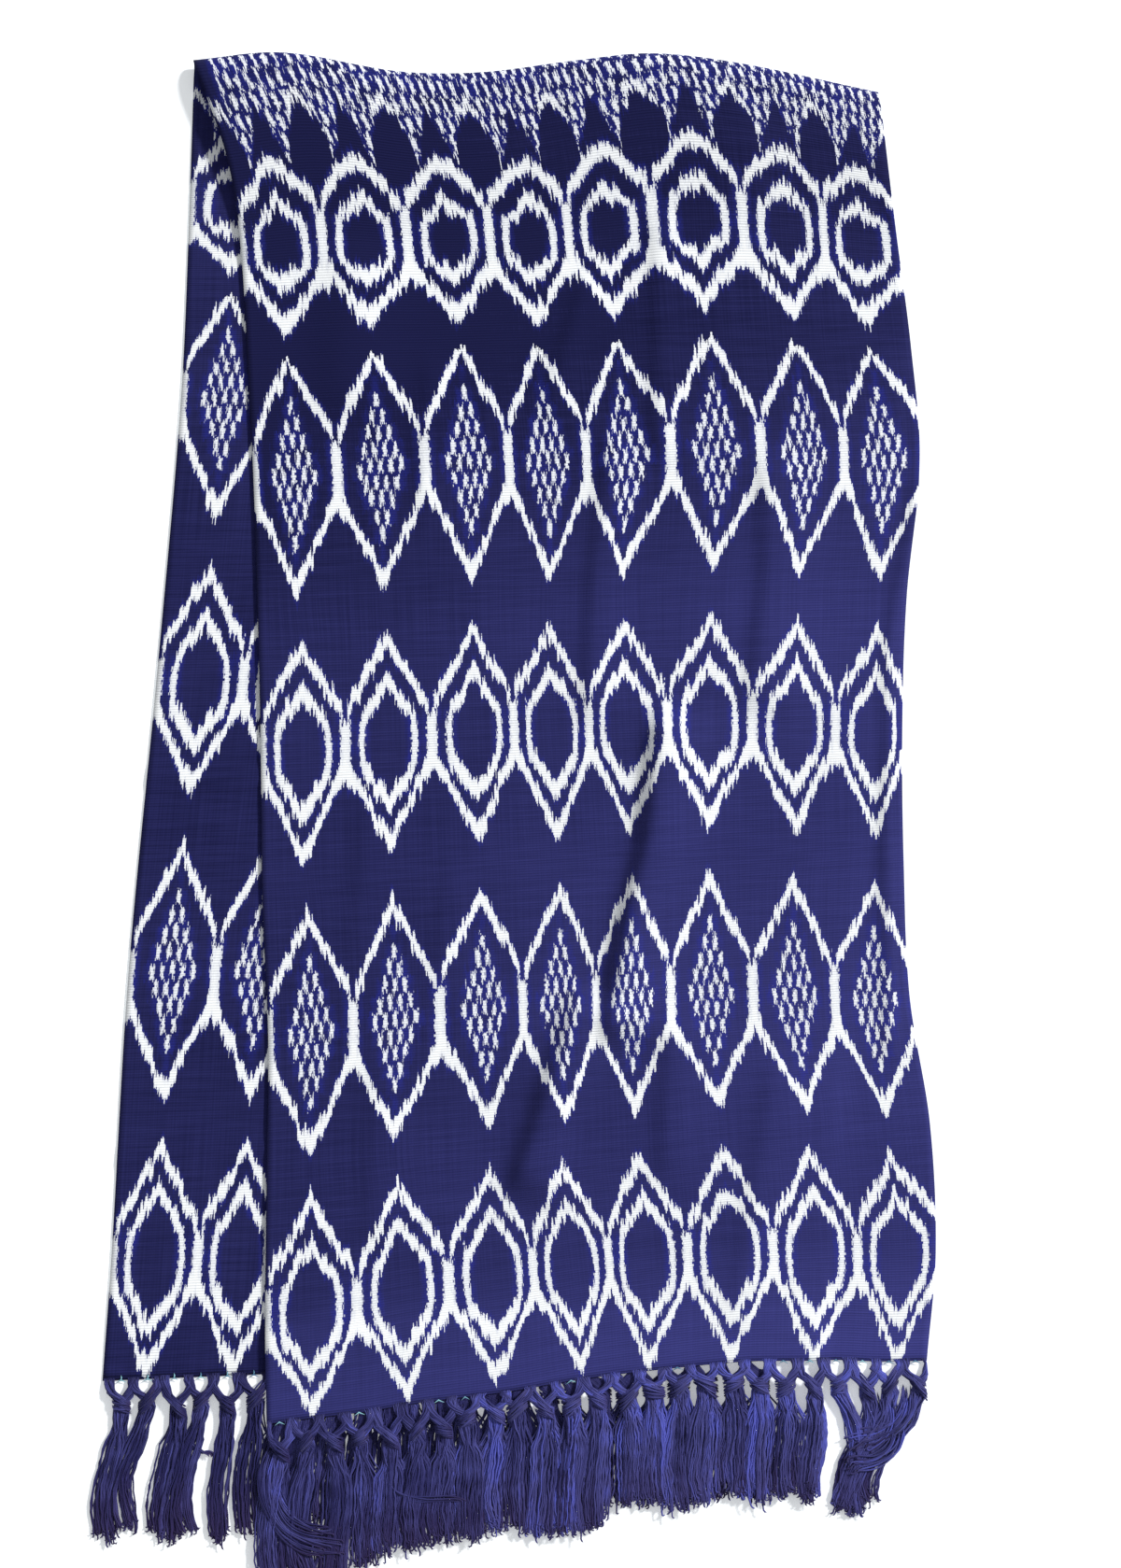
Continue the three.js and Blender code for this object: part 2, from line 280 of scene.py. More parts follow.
class Finish:
    """A material and the one way to add a node to it."""

    def __init__(self, name, roughness, sheen, sheen_roughness=0.5):
        self.material = bpy.data.materials.new(name)
        self.material.use_nodes = True
        self.tree = self.material.node_tree
        self.shader = self.tree.nodes["Principled BSDF"]
        self.shader.inputs["Roughness"].default_value = roughness
        self.shader.inputs["Sheen Weight"].default_value = sheen
        self.shader.inputs["Sheen Roughness"].default_value = sheen_roughness
        self.shader.inputs["Specular IOR Level"].default_value = 0.15

    def node(self, kind, settings=None, inputs=None, output=0):
        made = self.tree.nodes.new(kind)
        for name, value in (settings or {}).items():
            setattr(made, name, value)
        for key, value in (inputs or {}).items():
            if isinstance(value, Wire):
                self.tree.links.new(value.socket, made.inputs[key])
            else:
                made.inputs[key].default_value = value
        return Wire(self, made.outputs[output])

    def blend(self, amount, start, end):
        """A colour from start to end. Either may be a colour or a wire."""
        settings = {"data_type": "RGBA"}
        return self.node("ShaderNodeMix", settings, {0: amount, 6: start, 7: end}, output=2)

    def noise(self, vector, scale, detail=0.0, dimensions="3D"):
        settings = {"noise_dimensions": dimensions}
        return self.node("ShaderNodeTexNoise", settings,
                         {"Vector": vector, "Scale": scale, "Detail": detail})

    def chance(self, value):
        """A value from 0 to 1 that differs for each whole number."""
        return self.node("ShaderNodeTexWhiteNoise", {"noise_dimensions": "1D"}, {"W": value})

    def pair(self, first, second):
        return self.node("ShaderNodeCombineXYZ", None, {0: first, 1: second})

    def split(self, vector):
        return [self.node("ShaderNodeSeparateXYZ", None, {0: vector}, output=i) for i in (0, 1)]

    def feed(self, socket, wire):
        self.tree.links.new(wire.socket, self.shader.inputs[socket])

    def bump(self, height, distance, strength=1.0):
        normal = self.node("ShaderNodeBump", None,
                           {"Height": height, "Distance": distance, "Strength": strength})
        self.feed("Normal", normal)


def to_linear(red, green, blue):
    """A colour given as it looks on a screen, 0 to 255, as the shader wants it."""
    def channel(value):
        value /= 255
        return value / 12.92 if value <= 0.04045 else ((value + 0.055) / 1.055) ** 2.4
    return (channel(red), channel(green), channel(blue), 1.0)


# %% The table top
def make_floor():
    bm = bmesh.new()
    bmesh.ops.create_grid(bm, x_segments=1, y_segments=1, size=FLOOR_SIZE / 2)
    bmesh.ops.translate(bm, verts=bm.verts, vec=(0, 0, -FLOOR_GAP))
    mesh = bpy.data.meshes.new("floor")
    bm.to_mesh(mesh)
    bm.free()
    floor = bpy.data.objects.new("floor", mesh)
    scene.collection.objects.link(floor)
    paint = Finish("white_table", roughness=0.7, sheen=0.0)
    paint.shader.inputs["Base Color"].default_value = (0.93, 0.955, 0.965, 1)
    paint.shader.inputs["Emission Color"].default_value = (0.97, 0.99, 1, 1)
    paint.shader.inputs["Emission Strength"].default_value = 0.3
    mesh.materials.append(paint.material)


make_floor()

# %% [markdown]
# ## The height of the cloth
#
# A laid cloth is almost flat, and the little relief it has tells that it is cloth. The upper
# half lies on the lower half and its fringe, drops to the table past the lower half's edge,
# and climbs to the rounded fold. Creases are pushed up where the cloth was never
# smoothed out, and slow noise stretched along the warp keeps every stretch slightly uneven.

# %% Heights
WALL = 0.0012
CLEARANCE = 0.0003
FOLD_CREST = 0.013
CREST_PER_RISE = 0.2
RISE_FROM = 0.700
LIFT_FROM = 0.775
KNOT_HEIGHT = 0.003

# Each crease rises steeply from its left side and falls gently to its right side.
creases = table_of(("height", "left_width", "right_width", "path"), [
    (0.0125, 0.009, 0.028, [(0.047, 0.450), (0.040, 0.379), (0.028, 0.334), (0.015, 0.262)]),
    (0.0105, 0.009, 0.024, [(-0.012, 0.258), (-0.030, 0.206), (-0.046, 0.156)]),
    (0.0035, 0.007, 0.016, [(0.045, 0.790), (0.046, 0.720), (0.046, 0.655)]),
    (0.0040, 0.007, 0.018, [(0.011, 0.640), (0.002, 0.560), (-0.002, 0.480)]),
    (0.0045, 0.008, 0.032, [(0.120, 0.625), (0.121, 0.560), (0.113, 0.488)]),
    (0.0040, 0.020, 0.030, [(-0.165, 0.770), (-0.170, 0.690)]),
    (0.0030, 0.007, 0.012, [(-0.008, 0.750), (-0.027, 0.690)]),
    (0.0022, 0.007, 0.014, [(-0.112, 0.690), (-0.116, 0.620)]),
    (0.0018, 0.008, 0.016, [(-0.148, 0.215), (-0.151, 0.125)]),
    (0.0022, 0.008, 0.016, [(-0.098, 0.345), (-0.106, 0.290)]),
    (0.0020, 0.008, 0.018, [(-0.155, 0.395), (-0.160, 0.315)]),
    (0.0032, 0.009, 0.022, [(0.054, 0.240), (0.051, 0.165)]),
    (0.0030, 0.010, 0.024, [(0.124, 0.210), (0.100, 0.060)]),
    (0.0030, 0.005, 0.008, [(0.222, 0.612), (0.209, 0.550), (0.203, 0.511),
                            (0.201, 0.374), (0.203, 0.250)]),
    (0.0010, 0.004, 0.005, [(-0.215, 0.111), (-0.120, 0.120), (-0.022, 0.132)]),
])
# The lower half has two marks of how it was once folded away.
lower_creases = table_of(("height", "left_width", "right_width", "path"), [
    (0.0012, 0.004, 0.006, [(-0.330, 0.421), (-0.215, 0.424)]),
    (0.0010, 0.006, 0.004, [(-0.340, 0.160), (-0.225, 0.170)]),
])


def fold_rise(across):
    return read(fold_bulges, "across", "rise", across)


def hem_rise(across, along):
    """How far the bulges of the upper hem move the cloth here."""
    fade = 1 - ease(along / HEM_BULGE_REACH)
    return read(hem_bulges, "across", "rise", clamp(across)) * fade


def column_shift(across, along):
    """How far the warp has slid to the right here, as a share of the cloth's width."""
    stops = [0.0, *column_places, CLOTH_WIDTH]
    x = across * CLOTH_WIDTH
    i = 0
    while i < len(stops) - 2 and x > stops[i + 1]:
        i += 1
    start, end = (
        read(column_shifts, "along", k, along) if 0 <= k < len(column_places) else 0.0
        for k in (i - 1, i))
    share = (x - stops[i]) / (stops[i + 1] - stops[i])
    return mix(start, end, ease(share)) / 1000 / CLOTH_WIDTH


def plan_point(lines, across, along):
    """Where a point of the cloth lies, seen from above, in the drawing."""
    rise = 0.0
    if lines is upper_lines:
        across += column_shift(across, along)
        rise = hem_rise(across, along)
    rise += fold_rise(across) * ease((along - RISE_FROM) / (FOLD_ALONG - RISE_FROM))
    ends = [read(lines, "along", name, along) for name in COLUMNS[1:]]
    return mix(ends[0], ends[2], across), mix(ends[1], ends[3], across) + rise


def crest_height(across):
    return FOLD_CREST + CREST_PER_RISE * fold_rise(across)


def lower_hem_y(x):
    hem = lower_lines[0]
    share = clamp((x - hem["left_x"]) / (hem["right_x"] - hem["left_x"]))
    return mix(hem["left_y"], hem["right_y"], share)


def bed_height(x, y):
    """The height of what the upper half and its fringe lie on."""
    ramp_length = 0.040
    edge_margin = 0.026
    drop_length = 0.020
    over_fringe = ease((lower_hem_y(x) + ramp_length - y) / (ramp_length / 2))
    bed = mix(WALL, KNOT_HEIGHT + CLEARANCE, over_fringe) + CLEARANCE
    beyond = (x - read(lower_lines, "right_y", "right_x", y) - edge_margin) / drop_length
    return bed * (1 - ease(beyond))


def crease_height(x, y, table):
    """How high the creases push the cloth up. Each one fades out past its two ends."""
    end_fade = 0.030
    bend_fade = 0.008
    height = 0.0
    for crease in table:
        best = 0.0
        path = crease["path"]
        for i, (start, end) in enumerate(zip(path, path[1:])):
            run_x, run_y = end[0] - start[0], end[1] - start[1]
            length = math.hypot(run_x, run_y)
            down = ((x - start[0]) * run_x + (y - start[1]) * run_y) / length
            aside = ((y - start[1]) * run_x - (x - start[0]) * run_y) / length
            width = crease["left_width"] if aside < 0 else crease["right_width"]
            reach = 1.0
            if down < 0:
                reach = ease(1 + down / (end_fade if i == 0 else bend_fade))
            elif down > length:
                last = i == len(path) - 2
                reach = ease(1 - (down - length) / (end_fade if last else bend_fade))
            best = max(best, reach * math.exp(-((aside / width) ** 2)))
        height += crease["height"] * best
    return height


def unevenness(x, y, seed):
    """Slow waves, longer along the warp than across it, never below zero."""
    slow = noise.noise(Vector((x * 14, y * 5, seed)))
    quick = noise.noise(Vector((x * 45, y * 16, seed + 5)))
    return 0.0007 * (slow + 1) + 0.00025 * (quick + 1)


def upper_height(across, along):
    """The height of the upper half's top face."""
    x, y = plan_point(upper_lines, across, along)
    hem_fade = ease(along / 0.060)
    lying = bed_height(x, y) + (crease_height(x, y, creases) + unevenness(x, y, 1)) * hem_fade
    climb = ease((along - LIFT_FROM) / (SEAM_ALONG - LIFT_FROM))
    return mix(lying + WALL, crest_height(across), climb)


# %% [markdown]
# ## The cloth
#
# The whole length is one sheet: the top of the upper half, over the turn, and back under the
# lower half. One grid is enough, because each row of its points is sent to its own line. The
# sheet follows the outer face all the way round, so the underside of the lower half rests
# flat on the table, and Solidify gives the thread's thickness inwards.
# The map holds metres of cloth, across and along. A second attribute holds what the dyer
# thinks in: which column of diamonds, and how far from the nearest hem.

# %% Where each row of the grid goes
UPPER_ROWS = 214
TURN_ROWS = 14
LOWER_ROWS = 150
CELLS_ACROSS = 112
CLOTH_THICKNESS = 0.0008
TURN_LENGTH = 0.036
CUT_LENGTH = 2 * SEAM_ALONG + TURN_LENGTH
PLAIN_ROWS = UPPER_ROWS + TURN_ROWS + LOWER_ROWS


def cloth_point(across, row):
    """The outer face's point, and its distance along the cloth from the upper hem."""
    if row <= UPPER_ROWS:
        along = SEAM_ALONG * row / UPPER_ROWS
        x, y = plan_point(upper_lines, across, along)
        return (x, y, upper_height(across, along)), along
    if row <= UPPER_ROWS + TURN_ROWS:
        share = (row - UPPER_ROWS) / TURN_ROWS
        angle = math.pi * (0.5 - share)
        high = plan_point(upper_lines, across, SEAM_ALONG)
        low = plan_point(lower_lines, across, SEAM_ALONG)
        edge = plan_point(upper_lines, across, FOLD_ALONG)
        side = (1 + math.sin(angle)) / 2
        x, y = (mix(mix(low[i], high[i], side), edge[i], math.cos(angle)) for i in (0, 1))
        z = crest_height(across) * side
        return (x, y, z), SEAM_ALONG + TURN_LENGTH * share
    along = SEAM_ALONG * (PLAIN_ROWS - row) / LOWER_ROWS
    x, y = plan_point(lower_lines, across, along)
    lift = 0.3 * unevenness(x, y, 9) + crease_height(x, y, lower_creases)
    lift *= ease((LIFT_FROM - along) / 0.1) * ease(along / 0.03)
    return (x, y, lift), CUT_LENGTH - along


# %% The dyer's columns
# Each column of diamonds was tied in its own bundle of warp, and bundles slip on the loom.
# At a hem and at the fold they have slipped by different amounts.
column_rows = table_of(("place", "hem_slip", "fold_slip", "lower_slip"), [
    (place, *slips) for place, slips in zip(column_places, [
        (0.002, 0.003, 0.000),
        (0.009, 0.005, -0.002),
        (0.013, 0.008, 0.003),
        (0.014, 0.005, 0.006),
        (0.015, 0.007, 0.008),
        (0.013, 0.011, 0.010),
        (0.006, 0.006, 0.006),
        (-0.002, 0.000, 0.000),
    ])
])
COLUMN_WIDTH = CLOTH_WIDTH / len(column_rows)


def dyer_point(across, run):
    """The column that a point is in, whose middles are at a half, and its place from a hem."""
    x = across * CLOTH_WIDTH
    i = 0
    while i < len(column_rows) - 2 and x > column_rows[i + 1]["place"]:
        i += 1
    share = (x - column_rows[i]["place"]) / (
        column_rows[i + 1]["place"] - column_rows[i]["place"])
    hem_slip, fold_slip, lower_slip = (
        mix(column_rows[i][name], column_rows[i + 1][name], ease(share))
        for name in ("hem_slip", "fold_slip", "lower_slip"))
    along = min(run, CUT_LENGTH - run)
    upper_slip = mix(hem_slip, fold_slip, along / (CUT_LENGTH / 2))
    upper_slip -= hem_rise(across, along)
    past_fold = ease((run - CUT_LENGTH / 2) / 0.05)
    return i + 0.5 + share, along - mix(upper_slip, lower_slip, past_fold)


# %% Make the sheet
def make_cloth():
    bm = bmesh.new()
    bmesh.ops.create_grid(bm, x_segments=CELLS_ACROSS, y_segments=PLAIN_ROWS, size=0.5)
    map_layer = bm.loops.layers.uv.new("Cloth")
    dyer_layer = bm.verts.layers.float_vector.new("dyer")
    run_of = {}
    for vert in bm.verts:
        across = vert.co.x + 0.5
        point, run = cloth_point(across, round((vert.co.y + 0.5) * PLAIN_ROWS))
        vert[dyer_layer] = Vector((*dyer_point(across, run), 0))
        run_of[vert] = (across * CLOTH_WIDTH, run)
        vert.co = Vector(point) + to_frame
    for face in bm.faces:
        face.smooth = True
        for loop in face.loops:
            loop[map_layer].uv = run_of[loop.vert]
    mesh = bpy.data.meshes.new("scarf_cloth")
    bm.to_mesh(mesh)
    bm.free()
    cloth = bpy.data.objects.new("scarf_cloth", mesh)
    scene.collection.objects.link(cloth)
    wall = cloth.modifiers.new("thickness", "SOLIDIFY")
    wall.thickness = CLOTH_THICKNESS
    wall.offset = -1
    print("cloth", len(mesh.polygons), "cells, cut", CLOTH_WIDTH, "by", round(CUT_LENGTH, 3), "m")
    return cloth


cloth = make_cloth()

# %% [markdown]
# ## The ikat dye
#
# In ikat the warp is tied and dyed before it is woven. Each thread takes the dye a little
# above or below its neighbour, so every edge of a motif is a row of fine vertical steps, and
# the dye creeps under the ties as a brighter blue. The shader does the same: it finds the
# warp thread, moves that thread along by its own chance, and only then asks whether this
# place is inside a motif. All motifs are signed distances in metres, joined with maximum
# and cut with minimum, so one threshold at the end gives the white and a second one the
# blue around it.

# %% The rows of motifs, from the hem to the fold
motif_rows = table_of(
    ("centre", "half", "side", "low_side", "round", "ring_top", "ring_foot", "ring_fall",
     "ring_side", "core_top", "core_foot", "core_fall", "core_side", "dashed", "until"), [
        (0.0740, 0.075, 0.0195, 0.011, 0.0,
         0.049, 0.050, 0.045, 0.70, 0.0385, 0.0375, 0.044, 0.56, 0, 0.165),
        (0.2570, 0.082, 0.0210, 0.018, 0.0,
         0.049, 0.049, 0.045, 0.70, 0.0370, 0.0340, 0.043, 0.54, 1, 0.350),
        (0.4440, 0.075, 0.0225, 0.012, 0.0,
         0.048, 0.049, 0.046, 0.69, 0.0360, 0.0355, 0.042, 0.55, 0, 0.538),
        (0.6320, 0.083, 0.0235, 0.015, 0.0,
         0.048, 0.049, 0.045, 0.70, 0.0310, 0.0310, 0.038, 0.53, 1, 0.708),
        (0.7825, 0.056, 0.0265, 0.016, 0.2,
         0.0335, 0.0305, 0.028, 0.68, 0.0224, 0.0190, 0.018, 0.51, 0, 1.000),
    ])


def by_row(place, column):
    """The value that a column of the table has at this place along the cloth."""
    value = motif_rows[0][column]
    for row, following in zip(motif_rows, motif_rows[1:]):
        value = place.over(row["until"]) * (following[column] - row[column]) + value
    return value


# %% How far each warp thread has slipped
THREAD = 0.0006
GROUP = 0.0015
BUNDLE = 0.0052


def slipped(finish, across, along):
    """How far the warp here has slipped along the cloth, in metres.

    Single threads, small groups and whole bundles slip, the wide ones over longer stretches.
    """
    def slip(width, reach, speed, seed):
        thread = (across / width).floor()
        vector = finish.pair(thread * 7.31 + seed, along * speed)
        return (finish.noise(vector, 1.0, dimensions="2D") - 0.5) * (2 * reach)
    steady = (finish.chance((across / GROUP).floor() + 0.5) - 0.5) * 0.0030
    return (steady + slip(GROUP, 0.0046, 30.0, 3.0) + slip(BUNDLE, 0.0038, 12.0, 11.0)
            + slip(THREAD, 0.0040, 60.0, 23.0))


# %% The motifs
DASH_STEP = 0.0115
DASH_SPACING = 0.0069
HALF_STROKE = 0.0052
LENS_ROWS = 4.7
LENS_DASH = (0.0014, 0.0046)


def lattice(place, aside, half_width, half_height):
    """Short dashes set like bricks, as a distance. Also the number of the row of dashes."""
    row = (place / DASH_STEP + 0.5).floor()
    odd = abs(row).math("MODULO", 2.0)
    across = aside / DASH_SPACING + odd * 0.5 + 0.5
    from_dash = abs(across.part() - 0.5) * DASH_SPACING
    from_row = abs(place - row * DASH_STEP)
    return (half_width - from_dash).at_most(half_height - from_row), row


def motif_distance(column, place, calm):
    """How far inside the white a point is, in metres. It is negative outside.

    The dashes are so short that they use the calm place, where the warp has slipped less.
    """
    half_column = COLUMN_WIDTH / 2
    aside = (column.part() - 0.5) * COLUMN_WIDTH
    to_side = abs(aside) / half_column
    from_centre = place - by_row(place, "centre")
    half, side = by_row(place, "half"), by_row(place, "side")
    blunt = by_row(place, "round")

    # The outer diamond: an upper and a lower V, and an upright bar between two columns.
    low_side = by_row(place, "low_side")
    past_apex = (to_side - blunt).at_least(0.0) / (1 - blunt)
    upper_line = (half - HALF_STROKE) * (1 - past_apex) + side * past_apex
    lower_line = (half - HALF_STROKE) * (1 - to_side) + low_side * to_side
    upper_v = (HALF_STROKE - abs(from_centre - upper_line)).at_most((0.94 - to_side) * 0.06)
    flare = (to_side - 0.74).at_least(0.0) * 0.018 + (0.25 - to_side).at_least(0.0) * 0.008
    lower_v = HALF_STROKE - abs(from_centre + lower_line) + flare
    bar = (to_side - 0.885) * half_column
    bar = bar.at_most(side - 0.003 - from_centre).at_most(from_centre + low_side + 0.006)
    outline = upper_v.at_least(lower_v).at_least(bar)

    # The inner ring of the double diamonds.
    def hexagon(name):
        fall = to_side * by_row(place, name + "_fall")
        above = by_row(place, name + "_top") - from_centre - fall
        below = by_row(place, name + "_foot") + from_centre - fall
        beside = (by_row(place, name + "_side") - to_side) * half_column
        beside = beside - from_centre * from_centre * 5.0
        return above.at_most(below).at_most(beside)
    ring = hexagon("ring").at_most(-hexagon("core"))

    # The lens of dashes of the others.
    dashes, row = lattice(calm - by_row(place, "centre"), aside, *LENS_DASH)
    lens = (LENS_ROWS - abs(row)) * (DASH_SPACING / 2) - abs(aside)
    dashes = dashes.at_most(lens)

    dashed = by_row(place, "dashed")
    inner = ring * (1 - dashed) + dashes * dashed
    return outline.at_least(inner)


# %% The band over the fold
BAND_MIDDLE = 0.9075
BAND_EDGE = 0.8355
PENDANT = 0.038
SELVAGE = 0.011


def fold_band_distance(column, place, calm, across):
    """The band of dashes over the fold, with pointed pendants on both sides of it.

    Between two pendants the edge is an arch, which is drawn round with a white line.
    """
    aside = (column.part() - 0.5) * COLUMN_WIDTH
    to_side = abs(aside) / (COLUMN_WIDTH / 2)
    from_pendant = abs(to_side - 0.5) * 2
    pointed = from_pendant * PENDANT
    arched = from_pendant.math("POWER", 0.38) * (PENDANT - 0.001)
    between = to_side.over(0.5)
    edge = pointed * (1 - between) + arched * between + BAND_EDGE
    lean = (place - BAND_MIDDLE) * 0.22
    thin = ((place - 0.862) / 0.03).share() * 0.0004
    dashes, _ = lattice(calm - BAND_MIDDLE, aside + lean + 0.002, 0.0016 - thin, 0.0045)
    arcs = (0.0030 - abs(place - edge - 0.003)).at_most((from_pendant - 0.45) * 0.012)
    arcs = arcs.at_most((to_side - 0.5) * 0.02)
    inside = (place - edge).at_most(across - SELVAGE)
    return dashes.at_most(inside).at_least(arcs)


# %% The cloth's finish
RIB = 0.0017
CALM_SHARE = 0.70
SPECK_REACH = 0.0016
EDGE_WIDTH = 0.0005
CREEP_WIDTH = 0.0045


def make_cloth_finish():
    finish = Finish("ikat_cotton", roughness=0.88, sheen=0.03)
    across, along = finish.split(finish.node("ShaderNodeUVMap", {"uv_map": "Cloth"}))
    column, place = finish.split(
        finish.node("ShaderNodeAttribute", {"attribute_name": "dyer"}, output=1))

    group_middle = ((across / THREAD).floor() + 0.5) * THREAD
    thread_column = column - (across - group_middle) / COLUMN_WIDTH
    slip = slipped(finish, across, along)
    thread_place = place + slip
    calm = place + slip * CALM_SHARE
    distance = motif_distance(thread_column, thread_place, calm).at_least(
        fold_band_distance(thread_column, thread_place, calm, across))

    # Each crossing of a thread and a rib took the dye by its own chance.
    thread = (across / THREAD).floor()
    rib = (along / RIB).floor()
    speck = finish.node("ShaderNodeTexWhiteNoise", {"noise_dimensions": "2D"},
                        {"Vector": finish.pair(thread, rib)})
    distance = distance + (speck - 0.5) * SPECK_REACH

    # White inside, a brighter blue where the dye crept, ink elsewhere, with painted shade and
    # painted light in the ink.
    white = (distance / EDGE_WIDTH + 0.5).share()
    cloudy = finish.noise(finish.pair(across, along), 90.0, dimensions="2D")
    creep = ((distance + CREEP_WIDTH) / CREEP_WIDTH).share() * cloudy * 1.2
    tone = finish.noise(finish.pair(across * 900, along * 14), 1.0, dimensions="2D")
    shot = finish.noise(finish.pair(across * 30, rib * 3.7), 1.0, dimensions="2D")
    patch = finish.noise(finish.pair(across, along), 6.0, 2.0, dimensions="2D")
    # Painted shade and light: the ink is painted darker towards the fold, where the cloth turns
    # away from the light, and lighter towards the right and towards the upper hem. The lower half
    # gets one flat, darker level.
    lower = along.over(CUT_LENGTH / 2)
    painted_fold_shade = ((place - 0.52) / 0.20).share() * 0.36
    painted_hem_light = ((0.085 - place) / 0.07).share() * 0.27
    depth = (across * 0.62 + 0.20 - painted_fold_shade + painted_hem_light) * (1 - lower) + lower * 0.14
    shade = depth + (tone - 0.5) * 0.14 + (shot - 0.5) * 0.15 + (patch - 0.5) * 0.30
    ink = finish.blend(shade.share(), to_linear(18, 20, 66), to_linear(65, 66, 138))
    blue = finish.blend(creep.share() * 0.55, ink, to_linear(36, 44, 158))

    # Between two ribs a dot of the dark weft shows through the white warp.
    weft = speck.part() * (0.5 - distance / 0.010).share() * 0.8 + 0.03
    yarn = finish.blend(weft, to_linear(249, 251, 251), to_linear(120, 130, 176))
    colour = finish.blend(white, blue, yarn)
    finish.feed("Base Color", colour)

    ribs = (along * (2 * math.pi / RIB)).sine()
    warps = (across * (2 * math.pi / THREAD)).sine()
    relief = ribs * 0.7 + warps * 0.25 + shot * 0.8 + white * 0.3
    finish.bump(relief, 0.00014)
    return finish.material


cloth.data.materials.append(make_cloth_finish())

# %% [markdown]
# ## The fringes
#
# Past each hem the warp ends are gathered in bundles. Each bundle parts in two, and each half
# is knotted to its neighbour's, which leaves a row of small drops under the hem. Below the
# knots the threads hang loose as tassels. A curve with a small round bevel is the right tool
# for a thread, and one curve object may hold hundreds of them, so each stretch of a fringe is
# made as one curve and then turned into a mesh. There are five such stretches, which keeps
# every mesh under 200,000 triangles. Each thread keeps its own tone as an attribute.

# %% Sizes of the fringe
KNOT_COUNT = 25
RIGHT_KNOT = 0.008
THREAD_RADIUS = 0.00062
TASSEL_COLUMNS = ("knot", "lean", "bow", "reach", "spread", "neck")

upper_tassels = table_of(TASSEL_COLUMNS, [
    (0, -0.010, -0.004, 0.108, 0.024, 0.014), (1, -0.010, -0.007, 0.108, 0.021, 0.014),
    (2, -0.009, 0.004, 0.106, 0.022, 0.011), (3, -0.008, 0.001, 0.100, 0.028, 0.010),
    (5, -0.010, -0.002, 0.092, 0.030, 0.012), (7, -0.006, 0.002, 0.093, 0.031, 0.014),
    (8, -0.011, -0.003, 0.089, 0.029, 0.016), (10, -0.008, 0.002, 0.095, 0.031, 0.020),
    (12, -0.010, -0.001, 0.097, 0.030, 0.021), (13, -0.005, 0.002, 0.084, 0.028, 0.021),
    (15, -0.009, -0.002, 0.091, 0.030, 0.022), (17, -0.008, 0.002, 0.084, 0.029, 0.022),
    (18, -0.010, -0.001, 0.092, 0.028, 0.021), (19, -0.008, 0.001, 0.089, 0.027, 0.018),
    (20, -0.009, 0.002, 0.092, 0.021, 0.012), (21, -0.007, 0.012, 0.099, 0.016, 0.008),
    (22, -0.020, 0.006, 0.098, 0.020, 0.009), (23, -0.034, -0.004, 0.097, 0.022, 0.010),
    (24, -0.046, -0.006, 0.094, 0.024, 0.011),
])
lower_tassels = table_of(TASSEL_COLUMNS, [
    (0, -0.015, -0.003, 0.104, 0.020, 0.010), (1, -0.020, -0.008, 0.100, 0.019, 0.010),
    (2, -0.015, -0.001, 0.106, 0.021, 0.010), (3, -0.014, -0.006, 0.104, 0.019, 0.010),
    (4, -0.010, -0.002, 0.110, 0.017, 0.009), (5, -0.010, -0.003, 0.105, 0.023, 0.010),
    (8, -0.008, 0.000, 0.100, 0.034, 0.018), (24, -0.004, 0.000, 0.092, 0.034, 0.018),
])


# %% Threads as one mesh
def make_threads(name, paths, radius):
    """Each path is a list of points and a tone. All threads become one mesh."""
    curve = bpy.data.curves.new(name, "CURVE")
    curve.dimensions = "3D"
    curve.bevel_depth = radius
    curve.bevel_resolution = 0
    for points, _ in paths:
        spline = curve.splines.new("POLY")
        spline.points.add(len(points) - 1)
        spline.points.foreach_set("co", [c for point in points for c in (*point, 1.0)])
        spline.points[0].radius = 0.1
        spline.points[-1].radius = 0.1
    maker = bpy.data.objects.new(name + "_maker", curve)
    scene.collection.objects.link(maker)
    graph = bpy.context.evaluated_depsgraph_get()
    mesh = bpy.data.meshes.new_from_object(maker.evaluated_get(graph))
    bpy.data.objects.remove(maker)
    mesh.name = name
    sides = len(mesh.vertices) // sum(len(points) for points, _ in paths)
    values = []
    for points, tone in paths:
        for i in range(len(points)):
            values += [tone, i / (len(points) - 1), 0.0] * sides
    mesh.attributes.new("thread", "FLOAT_VECTOR", "POINT").data.foreach_set("vector", values)
    for polygon in mesh.polygons:
        polygon.use_smooth = True
    made = bpy.data.objects.new(name, mesh)
    scene.collection.objects.link(made)
    mesh.calc_loop_triangles()
    print(name, len(paths), "threads,", sides, "sides,", len(mesh.loop_triangles), "triangles")
    return made


# %% The line of a hem
class Hem:
    """The line of a hem, what its fringe lies on and what lies over it.

    Four functions tell how far the line bulges at a share of its length, how low a knot hangs
    as a share of the usual drop, how high the bed is, and how much room is above it.
    """

    def __init__(self, line, left_knot, rise, drop, bed, room):
        self.start = Vector((line["left_x"], line["left_y"]))
        end = Vector((line["right_x"], line["right_y"]))
        self.length = (end - self.start).length
        self.right = (end - self.start).normalized()
        self.left_knot = left_knot
        self.rise = rise
        self.drop = drop
        self.bed = bed
        self.room = room
        self.pitch = (self.length - left_knot - RIGHT_KNOT) / (KNOT_COUNT - 1)

    def middle(self, knot):
        return self.left_knot + knot * self.pitch

    def point(self, aside, below, up):
        x = self.start.x + self.right.x * aside + self.right.y * below
        y = self.start.y + self.right.y * aside - self.right.x * below
        y += self.rise(aside / self.length)
        return laid(x, y, min(up, self.room(x)), self.bed)


def laid(x, y, up, bed):
    """A point of the drawing, so high above what lies there."""
    return Vector((x, y, max(bed(x, y), CLEARANCE) + up)) + to_frame


